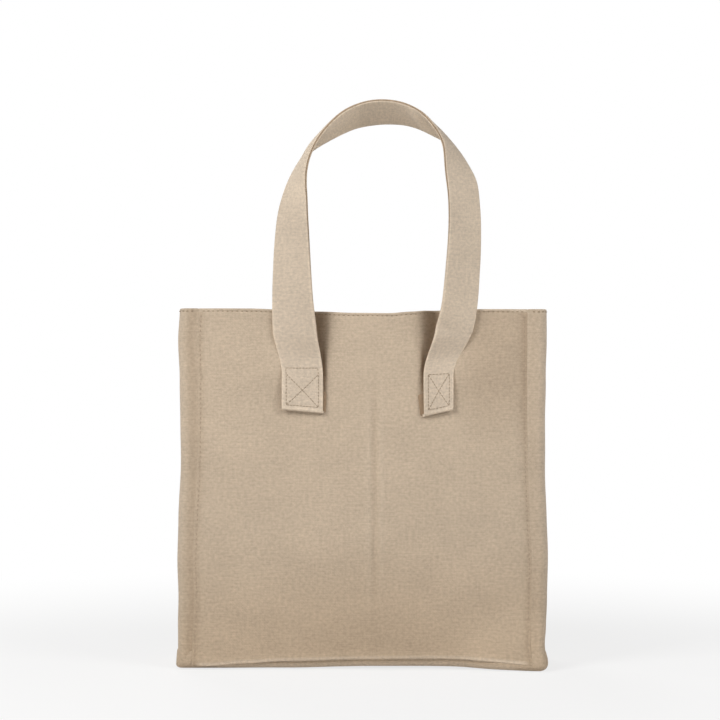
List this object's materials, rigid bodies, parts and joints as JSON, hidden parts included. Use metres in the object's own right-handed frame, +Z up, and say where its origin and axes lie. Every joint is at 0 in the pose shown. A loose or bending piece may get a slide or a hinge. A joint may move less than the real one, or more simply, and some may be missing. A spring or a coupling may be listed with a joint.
{
  "type": "tote bag",
  "caption": "Open canvas tote bag with lapped panels, tucked side gussets, a tray base and carrying handles of folded strap that swing up or hang down.",
  "frame": {"origin": "middle of the base's underside, on the surface that the bag stands on", "axes": "+Z up, +X to the right as seen from the front, +Y from the front panel to the back panel"},
  "size_m": [0.35, 0.1708, 0.5469],
  "materials": {
    "bag_canvas": "plain-woven unbleached canvas, matt",
    "strap_canvas": "folded and pressed unbleached canvas, matt"
  },
  "bodies": {
    "bag": {"front_panel": "bag_canvas", "back_panel": "bag_canvas", "right_gusset": "bag_canvas", "left_gusset": "bag_canvas", "base_panel": "bag_canvas", "front_hem": "bag_canvas", "back_hem": "bag_canvas", "right_hem": "bag_canvas", "left_hem": "bag_canvas", "front_left_strap_end": "strap_canvas", "front_right_strap_end": "strap_canvas", "back_left_strap_end": "strap_canvas", "back_right_strap_end": "strap_canvas", "front_left_strap_bend": "strap_canvas", "front_right_strap_bend": "strap_canvas", "back_left_strap_bend": "strap_canvas", "back_right_strap_bend": "strap_canvas"},
    "front_handle": {"front_handle": "strap_canvas"},
    "back_handle": {"back_handle": "strap_canvas"}
  },
  "joints": [
    {"name": "front_handle_swing", "type": "hinge", "parent": "bag", "child": "front_handle", "pos_m": [0, -0.05669, 0.30619], "axis": [1, 0, 0], "range_deg": [0, 176], "deforming": ["front_left_strap_bend", "front_right_strap_bend"]},
    {"name": "back_handle_swing", "type": "hinge", "parent": "bag", "child": "back_handle", "pos_m": [0, 0.05669, 0.30619], "axis": [1, 0, 0], "range_deg": [0, 176], "deforming": ["back_left_strap_bend", "back_right_strap_bend"]}
  ]
}
